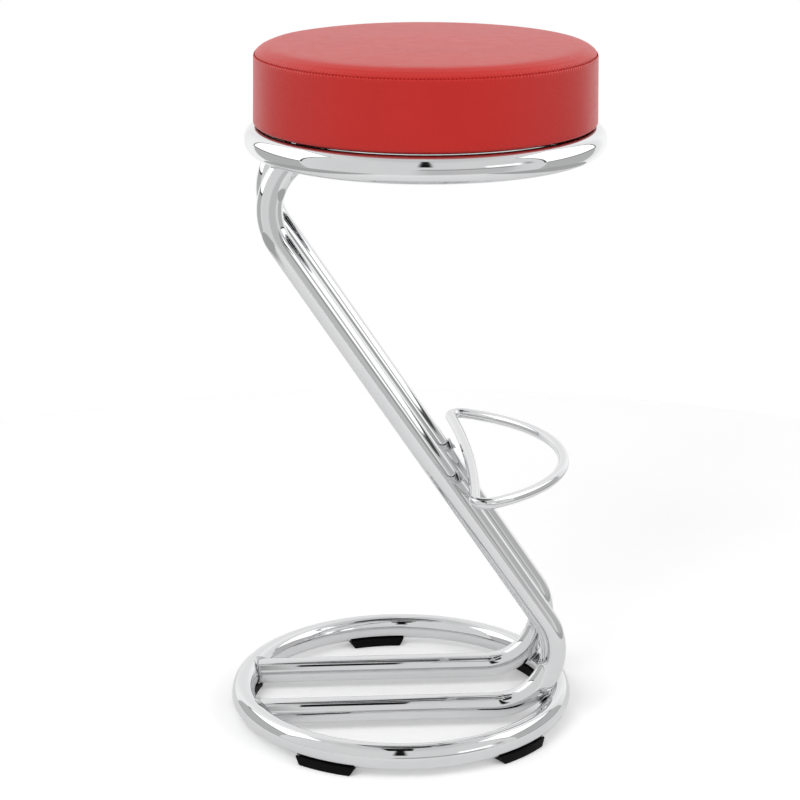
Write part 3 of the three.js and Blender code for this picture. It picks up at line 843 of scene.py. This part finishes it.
FOAM_CELL = 1.8 * MM
FOAM_RELIEF = 0.5 * MM
FOAM_RELIEF_SHARE = 0.7
TEE_NUT_ROOM = 1.6 * MM

board_low, board_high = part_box("seat_board")
cushion_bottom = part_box("vinyl_side_band")[0].z
cushion_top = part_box("vinyl_top_panel")[1].z
seam_height = cushion_top - SEAM_DROP
stitch_count = round(2 * math.pi * (CUSHION_RADIUS - DRAW_IN) / STITCH_PITCH)


def cushion_profile():
    """The cushion's outline as radius, height and part, from the hem to the middle of the top."""
    rows = []
    edge = CUSHION_RADIUS - BOTTOM_ROUND
    for i in range(HEM_POINTS):
        share = i / (HEM_POINTS - 1)
        rows.append((edge - SAG_WIDTH - HEM_WIDTH * (1 - share), cushion_bottom, "hem"))
    side_low = cushion_bottom - EDGE_SAG + BOTTOM_ROUND
    side_top = seam_height - SEAM_ROLL
    rounding = (BOTTOM_ROUND, BOTTOM_ROUND)
    for radius, height in arc((edge, side_low), rounding, -math.pi / 2, 0, ROUND_POINTS):
        rows.append((radius, height, "band"))
    for i in range(1, SIDE_POINTS + 1):
        share = i / SIDE_POINTS
        height = side_low + (side_top - side_low) * share
        rows.append((CUSHION_RADIUS - DRAW_IN * share, height, "band"))
    side = CUSHION_RADIUS - DRAW_IN
    for part, shares in (("band", SEAM_SHARES), ("seam", (1,)), ("panel", SEAM_SHARES[::-1])):
        for share in shares:
            way = 1 if part == "panel" else -1
            height = seam_height + way * SEAM_ROLL * (1 - share)
            rows.append((side - SEAM_DEPTH * share ** 2, height, part))
    rim_radius = side - SHOULDER_WIDTH
    shoulder_base = cushion_top - CROWN - SHOULDER_HEIGHT
    fold_height = seam_height + FOLD_RISE
    start = math.asin((seam_height + SEAM_ROLL - shoulder_base) / SHOULDER_HEIGHT)
    shoulder = (SHOULDER_WIDTH, SHOULDER_HEIGHT)
    for radius, height in arc(
            (rim_radius, shoulder_base), shoulder, start, math.pi / 2, SHOULDER_POINTS):
        groove = FOLD_DEPTH * math.exp(-((height - fold_height) / FOLD_HALF) ** 2)
        rows.append((radius - groove, height, "panel"))
    for i in reversed(range(CROWN_POINTS)):
        share = i / CROWN_POINTS
        rows.append((rim_radius * share, cushion_top - CROWN * share ** 2, "panel"))
    return rows


def row_points(radius, height):
    """One row of points round the cushion's own middle, or the one point of a pole."""
    points = []
    for j in range(CUSHION_SEGMENTS if radius else 1):
        angle = 2 * math.pi * j / CUSHION_SEGMENTS
        x = seat_middle.x + radius * math.cos(angle)
        points.append(Vector((x, radius * math.sin(angle), height)))
    return points


def spread(moves):
    """The moves of one row, each shared with its neighbours, as the foam under the vinyl does."""
    count = len(moves)
    reach = min(SPREAD_POINTS, count // 2)
    for _ in range(SPREAD_PASSES if reach else 0):
        shared = []
        for j in range(count):
            near = [moves[(j + k) % count] for k in range(-reach, reach + 1)]
            shared.append(sum(near, Vector()) / len(near))
        moves = shared
    return moves


def swollen(loops, rows):
    """The loops after the foam has pushed the vinyl out, by a cloth simulation that is held at
    the hem and the seam."""
    bag = new_object("bag", skin("bag", [row_points(0, cushion_bottom)] + loops))
    pinned = [0]
    index = 1
    for loop, (_, _, part) in zip(loops, rows):
        if part in ("hem", "seam"):
            pinned += range(index, index + len(loop))
        index += len(loop)
    held = bag.vertex_groups.new(name="held")
    held.add(pinned, 1, "REPLACE")
    cloth = bag.modifiers.new("vinyl", "CLOTH")
    cloth.settings.vertex_group_mass = "held"
    cloth.settings.use_pressure = True
    cloth.settings.uniform_pressure_force = AIR_PRESSURE
    cloth.settings.effector_weights.gravity = 0
    cloth.collision_settings.use_collision = False
    cloth.point_cache.frame_start = 1
    cloth.point_cache.frame_end = SIM_FRAMES
    for step in range(1, SIM_FRAMES + 1):
        bpy.context.scene.frame_set(step)
    shaped = bag.evaluated_get(bpy.context.evaluated_depsgraph_get())
    reached = iter([vertex.co.copy() for vertex in shaped.data.vertices][1:])
    pushed = []
    for loop, (_, _, part) in zip(loops, rows):
        limit = TOP_SWELL_LIMIT if part == "panel" else SIDE_SWELL_LIMIT
        moves = []
        for point in loop:
            move = next(reached) - point
            if move.length > 0:
                move *= limit * math.tanh(move.length / limit) / move.length
            moves.append(move)
        pushed.append([point + move for point, move in zip(loop, spread(moves))])
    bpy.context.scene.frame_set(1)
    bpy.data.objects.remove(bag)
    return pushed


def creased(loops, rows):
    """The loops with small pulls from the sewing beside the seam, and faint dents in the foam."""
    middle = Vector((seat_middle.x, 0, cushion_bottom))
    worked = []
    for loop, (_, height, part) in zip(loops, rows):
        if part in ("hem", "seam"):
            worked.append(loop)
            continue
        near = math.exp(-((height - seam_height) / PULL_REACH) ** 2)
        new_loop = []
        for point in loop:
            pull = noise.noise(Vector((point.x, point.y, 0)) / PULL_SIZE) * PULL_HEIGHT * near
            dent = noise.noise(point / DENT_SIZE) * DENT_HEIGHT
            new_loop.append(point + (point - middle).normalized() * (pull + dent))
        worked.append(new_loop)
    return worked


rows = cushion_profile()
loops = [row_points(radius, height) for radius, height, part in rows]
loops = swollen(loops, rows)
loops = creased(loops, rows)
seam_row = [part for _, _, part in rows].index("seam")

# Vinyl coated cloth: a red plastic skin with a satin gloss, embossed with a fine leather grain
# that is drawn coarser than the real one so that it shows. It puckers beside each stitch.
vinyl, tree = new_finish("embossed red vinyl")
place = add_node(tree, "TexCoord").outputs["Object"]
centred = add_node(tree, "Mapping", {
    "Location": (-seat_middle.x, 0, -seam_height), "Vector": place})
axes = add_node(tree, "SeparateXYZ", {"Vector": centred}).outputs
colour = blend(tree, VINYL_COLOURS, pattern(tree, (TONE_SIZE,) * 3, TONE_DETAIL))
cells = pattern(tree, (LEATHER_GRAIN,) * 3, 0, "TexVoronoi")
creases = pattern(
    tree, (CREASE_RUN, CREASE_RUN, CREASE_PITCH), CREASE_DETAIL, Distortion=CREASE_WANDER)
angle = math_node(tree, "ARCTAN2", axes["Y"], axes["X"])
beats = math_node(tree, "MULTIPLY", angle, stitch_count)
wave = math_node(tree, "COSINE", beats)
beside = math_node(tree, "ABSOLUTE", axes["Z"])
fade = add_node(tree, "MapRange", {
    "interpolation_type": "SMOOTHSTEP", "From Max": PUCKER_REACH, "To Min": 1, "To Max": 0,
    "Value": beside})
even_pucker = math_node(tree, "MULTIPLY", wave, fade)
pucker = math_node(tree, "MULTIPLY", even_pucker, creases)
grain = math_node(tree, "ADD", cells, creases)
fine = add_node(tree, "Bump", {
    "Distance": GRAIN_RELIEF, "Strength": GRAIN_RELIEF_SHARE, "Height": grain})
relief = add_node(tree, "Bump", {
    "Distance": PUCKER_HEIGHT, "Strength": PUCKER_HEIGHT_SHARE, "Height": pucker, "Normal": fine})
gloss = add_node(tree, "MapRange", {
    "To Min": VINYL_ROUGHNESS[0], "To Max": VINYL_ROUGHNESS[1], "Value": creases})
shader = add_node(tree, "BsdfPrincipled", {
    "IOR": VINYL_IOR, "Base Color": colour, "Roughness": gloss, "Normal": relief})
add_node(tree, "OutputMaterial", {"Surface": shader})

for name, part_loops, node in (
        ("Vinyl_Side_Band", loops[:seam_row + 1], "vinyl_side_band"),
        ("Vinyl_Top_Panel", loops[seam_row:], "vinyl_top_panel")):
    cloth = new_object(name, skin(name, part_loops))
    thick = cloth.modifiers.new("thickness", "SOLIDIFY")
    thick.thickness = VINYL_THICKNESS
    thick.offset = -1
    settled(cloth)
    dress(cloth, vinyl, "red_vinyl", node, smooth_degrees=CLOTH_SMOOTH_DEGREES)

# Moulded seat foam: pale yellow, open celled and quite matt
foam = patterned_finish(
    "open cell seat foam", FOAM_COLOURS, ((FOAM_CELL,) * 3, 0, "TexVoronoi"),
    {"Roughness": FOAM_ROUGHNESS}, relief=(FOAM_RELIEF, FOAM_RELIEF_SHARE))

foam_inset = VINYL_THICKNESS + 2 * FIT_GAP
inner_wall = (board_high.x - board_low.x) / 2 + FIT_GAP
under_board = board_high.z + FIT_GAP + TEE_NUT_ROOM
foam_loops = [
    row_points(0, under_board), row_points(inner_wall, under_board),
    row_points(inner_wall, cushion_bottom + foam_inset)]
for row, loop in enumerate(loops):
    if rows[row][2] == "hem":
        continue
    before = rows[max(row - 1, 0)]
    after = rows[min(row + 1, len(rows) - 1)]
    along = Vector((after[0] - before[0], after[1] - before[1])).normalized()
    inner = []
    for j, point in enumerate(loop):
        outward = spoke(2 * math.pi * j / CUSHION_SEGMENTS) * along.y - upright * along.x
        inner.append(point - outward * foam_inset)
    foam_loops.append(inner)
pad = new_object("Foam_Pad", closed_skin(skin("foam", foam_loops)))
dress(pad, foam, "foam", "foam_pad", smooth_degrees=CLOTH_SMOOTH_DEGREES)


# Stitches
# A row of dark red thread runs all round the cushion in the groove of the seam.
# Each stitch is a short plump bar of thread lying along the groove.

STITCH_LENGTH = 3.4 * MM
STITCH_WIDTH = 1.2 * MM
STITCH_SINK = 0.2 * MM
STITCH_SIDES = 6
STITCH_SHARES = (0, 0.55, 0.9, 1, 0.9, 0.55, 0)
STITCH_TURN = 0.2
STITCH_SEED = 11
THREAD_COLOURS = ("#a0100d", "#b41713")
THREAD_SURFACE = {"Roughness": 0.8, "Specular IOR Level": 0.15}
THREAD_TWIST = 0.5 * MM
THREAD_DETAIL = 2
THREAD_RELIEF = 0.1 * MM
THREAD_RELIEF_SHARE = 0.6

# Polyester thread: twisted and nearly matt, a darker red than the vinyl
thread = patterned_finish(
    "dark red polyester thread", THREAD_COLOURS, ((THREAD_TWIST,) * 3, THREAD_DETAIL),
    THREAD_SURFACE, relief=(THREAD_RELIEF, THREAD_RELIEF_SHARE))

angles = [2 * math.pi * j / STITCH_SIDES for j in range(STITCH_SIDES)]
stitch_loops = []
for i, share in enumerate(STITCH_SHARES):
    along = STITCH_LENGTH * (i / (len(STITCH_SHARES) - 1) - 1 / 2)
    girth = STITCH_WIDTH / 2 * share
    stitch_loops.append([(girth * math.cos(a), along, girth * math.sin(a)) for a in angles])
pattern_stitch = new_object("stitch", closed_skin(skin("stitch", stitch_loops)))
seam_radius = CUSHION_RADIUS - DRAW_IN - SEAM_DEPTH + STITCH_WIDTH / 2 - STITCH_SINK
stitches = set_copies("Seam_Stitches", round_tree, {
    "Piece": pattern_stitch, "Count": stitch_count, "Ring radius": seam_radius,
    "Middle": (seat_middle.x, seat_middle.y, seam_height), "First angle": 0.0,
    "Loose turn": STITCH_TURN, "Seed": STITCH_SEED})
dress(stitches, thread, "red_vinyl", smooth_degrees=CLOTH_SMOOTH_DEGREES)


# Floor, lamps and camera
# White studio paper lies under three soft lamps, with a bare grey floor beside it. Mirrors also
# see two soft boxes, a black flag and the walls of the studio, which draw the chrome's streaks.
# The camera stands where the photograph was taken from.

FLOOR_RADIUS = 1.25
FLOOR_STEPS = 96
FLOOR_COLOURS = ("#f8f8f8", "#fbfbfb")
MOTTLE_SIZE = 1 / 6
MOTTLE_DETAIL = 2
# The paper's glow away from the stool; near the stool it drops to a lower glow, which paints a
# shadow there
CLEAR_GLOW = 0.34
PAINTED_SHADOW_GLOW = 0.19
MIRRORED_GLOW = 0.14
PAINTED_SHADOW_REACH = 0.12
CLEAR_REACH = 0.28
PAPER_HALF = 0.68
PAPER_EDGE = 0.02
BARE_FLOOR_LEVEL = 0.5
SKY_DIFFUSE = 0.44
LAMP_AIM = (0, 0, 0.5)
BOX_DEGREES = {"left": -107, "right": 95}
BOX_DISTANCE = 1.2
BOX_WIDTH = 1.1
BOX_BOTTOM = 0.7
BOX_TOP = 2.1
BOX_FRAME = 0.045
BOX_DEPTH = 0.01
BOX_LEVEL = 1.7
FRAME_LEVEL = 0.08
STAND_LEVEL = 0.6
FLAG_LOW = (-0.12, -0.46)
FLAG_HIGH = (0.03, -0.2)
FLAG_HEIGHT = 0.6
FLAG_LEVEL = 0.01
RAMP_NEW_STOP = 0.5
CAMERA_PLACE = (-168.4 * MM, -2373.8 * MM, 1099.6 * MM)
CAMERA_AZIMUTH_DEGREES = 3.72
CAMERA_PITCH_DEGREES = 17.13
FOCAL_PIXELS = 2261
IMAGE_PIXELS = 800
SENSOR_MILLIMETRES = 36

# Each lamp's name, its place, how wide it is in metres and its power in watts
LAMPS = (
    ("key lamp", (-1.3, -1.9, 2.6), 1.6, 36),
    ("fill lamp", (2.2, -1.6, 2.0), 1.6, 20),
    ("top lamp", (0, 0, 5), 3.6, 26),
)
# Parts of the studio that the chrome mirrors: azimuths from the camera's side, positive to the
# right, and elevations, in degrees, then how soft the edges are and how bright the part is
STUDIO_PARTS = (
    ((-180, 180), (62, 90), 8, 0.78),
    ((-8, 52), (-30, 2), 6, 0.68),
    ((-8, 52), (1, 8), 2, 0.42),
    ((34, 58), (9.5, 20), 1.5, 1.7),
    ((61, 66), (9, 21), 2.5, 0.45),
    ((82, 92), (4, 27), 4, 0.66),
    ((-8.6, 0), (24, 70), 1, 0.01),
)
# How bright the studio's walls are at each azimuth away from the camera's side, in degrees
WALL_LEVELS = ((0, 0.9), (55, 0.88), (100, 0.96), (128, 1.02), (146, 1.2), (162, 1.06), (180, 1.04))


def seen_directly(tree, rays):
    """1 for rays that come from the camera, also through something clear, and 0 for others."""
    return math_node(tree, "MAXIMUM", rays["Is Camera Ray"], rays["Is Transmission Ray"])


def show_front(tree, front):
    """Ends a material's tree with a shader that shows on the front of faces only."""
    side = add_node(tree, "NewGeometry").outputs["Backfacing"]
    nothing = add_node(tree, "BsdfTransparent")
    facing = add_node(tree, "MixShader", {0: side, 1: front, 2: nothing})
    add_node(tree, "OutputMaterial", {"Surface": facing})


# Studio paper: white and matt. It glows a little for the camera and for mirrors. For the camera it
# glows less near the stool, which paints a shadow there on top of the real one. Mirrors see the
# bare floor beside it. It is clear from below.
paper, tree = new_finish("white studio paper")
place = add_node(tree, "TexCoord").outputs["Object"]
colour = blend(tree, FLOOR_COLOURS, pattern(tree, (MOTTLE_SIZE,) * 3, MOTTLE_DETAIL))
matt = add_node(tree, "BsdfDiffuse", {"Color": colour})
rays = add_node(tree, "LightPath").outputs
reach = add_node(tree, "VectorMath", {"operation": "LENGTH", 0: place})
# Less glow for the camera within the reach round the stool: a painted shadow on the floor
clear = add_node(tree, "MapRange", {
    "interpolation_type": "SMOOTHSTEP", "From Min": PAINTED_SHADOW_REACH, "From Max": CLEAR_REACH,
    "To Min": PAINTED_SHADOW_GLOW, "To Max": CLEAR_GLOW, "Value": reach.outputs["Value"]})
seen = math_node(tree, "MULTIPLY", seen_directly(tree, rays), clear)
lift = math_node(tree, "MULTIPLY_ADD", rays["Is Glossy Ray"], MIRRORED_GLOW, seen)
glow = add_node(tree, "Emission", {"Strength": lift})
both = add_node(tree, "AddShader", {0: matt, 1: glow})
axes = add_node(tree, "SeparateXYZ", {"Vector": place}).outputs
aside = math_node(tree, "ABSOLUTE", axes["X"])
beyond = add_node(tree, "MapRange", {
    "From Min": PAPER_HALF - PAPER_EDGE, "From Max": PAPER_HALF + PAPER_EDGE, "Value": aside})
bare = math_node(tree, "MULTIPLY", beyond, rays["Is Glossy Ray"])
studio_floor = add_node(tree, "Emission", {"Strength": BARE_FLOOR_LEVEL})
show_front(tree, add_node(tree, "MixShader", {0: bare, 1: both, 2: studio_floor}))

rim = [FLOOR_RADIUS * spoke(2 * math.pi * j / FLOOR_STEPS) for j in range(FLOOR_STEPS)]
floor = new_object("Studio_Floor", skin("floor", [rim, [(0, 0, 0)]]))
floor.data.materials.append(paper)

for name, spot, size, power in LAMPS:
    data = bpy.data.lights.new(name, "AREA")
    data.size = size
    data.energy = power
    lamp = new_object(name, data)
    lamp.location = spot
    lamp.rotation_euler = (Vector(LAMP_AIM) - Vector(spot)).to_track_quat("-Z", "Y").to_euler()
    lamp.visible_glossy = False


def mirrored_panel(name, corners, level):
    """A glowing panel of the studio that nothing but a mirror sees."""
    shine, tree = new_finish(name)
    show_front(tree, add_node(tree, "Emission", {"Strength": level}))
    mesh = bpy.data.meshes.new(name)
    mesh.from_pydata([tuple(point) for point in corners], [], [(0, 1, 3, 2)])
    panel = new_object(name, mesh)
    panel.data.materials.append(shine)
    panel.visible_camera = False
    panel.visible_diffuse = False
    panel.visible_transmission = False
    panel.visible_shadow = False


# A black flag in front of the stool, facing down, which draws the dark streak along its level runs
corners = []
for y in (FLAG_HIGH[1], FLAG_LOW[1]):
    corners += [(x, y, FLAG_HEIGHT) for x in (FLAG_LOW[0], FLAG_HIGH[0])]
mirrored_panel("black flag", corners, FLAG_LEVEL)

# Two tall soft boxes beside the stool: a white front in a dark frame, over a grey stand
for name, degrees in BOX_DEGREES.items():
    for part, bottom, top, margin, back, level in (
            ("front", BOX_BOTTOM, BOX_TOP, 0, 0, BOX_LEVEL),
            ("frame", BOX_BOTTOM, BOX_TOP, BOX_FRAME, BOX_DEPTH, FRAME_LEVEL),
            ("stand", 0, BOX_BOTTOM - BOX_FRAME, 0, BOX_DEPTH, STAND_LEVEL)):
        turn = math.radians(degrees)
        aside = spoke(turn) * (BOX_WIDTH / 2 + margin)
        middle = spoke(turn - math.pi / 2) * (BOX_DISTANCE + back)
        corners = []
        for z in (bottom - margin, top + margin):
            corners += [middle + upright * z + aside * way for way in (1, -1)]
        mirrored_panel(f"{name} box {part}", corners, level)


def graded(tree, source, stops):
    """A ramp of grey levels at given positions."""
    ramp = add_node(tree, "ValToRGB", {"Fac": source})
    elements = ramp.color_ramp.elements
    while len(elements) < len(stops):
        elements.new(RAMP_NEW_STOP)
    for element, (position, level) in zip(elements, stops):
        element.position = position
        element.color = (level, level, level, 1)
    return ramp.outputs["Color"]


def window(tree, angle, edges, soft, span):
    """A ramp that is 1 between two angles and 0 outside them, for an angle of -span to span."""
    low, high = edges
    stops = []
    for place, level in ((low - soft, 0), (low + soft, 1), (high - soft, 1), (high + soft, 0)):
        stops.append((min(max((place / span + 1) / 2, 0), 1), level))
    share = add_node(tree, "MapRange", {
        "From Min": -math.radians(span), "From Max": math.radians(span), "Value": angle})
    return graded(tree, share, stops)


# The sky: white to the camera, an even grey to lit surfaces, and for mirrors the walls of the
# studio, with the parts listed above, of which the last is the black gap over the camera
sky = bpy.data.worlds.new("studio sky")
sky.use_nodes = True
tree = sky.node_tree
tree.nodes.clear()
toward = add_node(tree, "TexCoord").outputs["Generated"]
axes = add_node(tree, "SeparateXYZ", {"Vector": toward}).outputs
ahead = math_node(tree, "MULTIPLY", axes["Y"], -1)
azimuth = math_node(tree, "ARCTAN2", axes["X"], ahead)
elevation = math_node(tree, "ARCSINE", axes["Z"])
apart = math_node(tree, "ABSOLUTE", azimuth)
turned_away = add_node(tree, "MapRange", {"From Max": math.pi, "Value": apart})
shade = graded(tree, turned_away, [(degrees / 180, level) for degrees, level in WALL_LEVELS])
for azimuths, elevations, soft, level in STUDIO_PARTS:
    across = window(tree, azimuth, azimuths, soft, 180)
    upward = window(tree, elevation, elevations, soft, 90)
    mask = math_node(tree, "MULTIPLY", across, upward)
    mixed = add_node(tree, "Mix", {
        "data_type": "RGBA", MIX_SECOND: (level, level, level, 1), MIX_SHARE: mask,
        MIX_FIRST: shade})
    shade = mixed.outputs[MIX_RESULT]
rays = add_node(tree, "LightPath").outputs
mirrored = add_node(tree, "Background", {"Color": shade})
even = add_node(tree, "Background", {"Color": (1, 1, 1, 1), "Strength": SKY_DIFFUSE})
plain = add_node(tree, "Background", {"Color": (1, 1, 1, 1)})
lit = add_node(tree, "MixShader", {0: rays["Is Glossy Ray"], 1: even, 2: mirrored})
shown = add_node(tree, "MixShader", {0: seen_directly(tree, rays), 1: lit, 2: plain})
add_node(tree, "OutputWorld", {"Surface": shown})
bpy.context.scene.world = sky
bpy.context.scene.view_settings.view_transform = "Standard"

lens = bpy.data.cameras.new("camera")
lens.sensor_width = SENSOR_MILLIMETRES
lens.lens = lens.sensor_width * FOCAL_PIXELS / IMAGE_PIXELS
camera = new_object("camera", lens)
camera.location = CAMERA_PLACE
camera.rotation_euler = (
    math.radians(90 - CAMERA_PITCH_DEGREES), 0, -math.radians(CAMERA_AZIMUTH_DEGREES))
bpy.context.scene.camera = camera
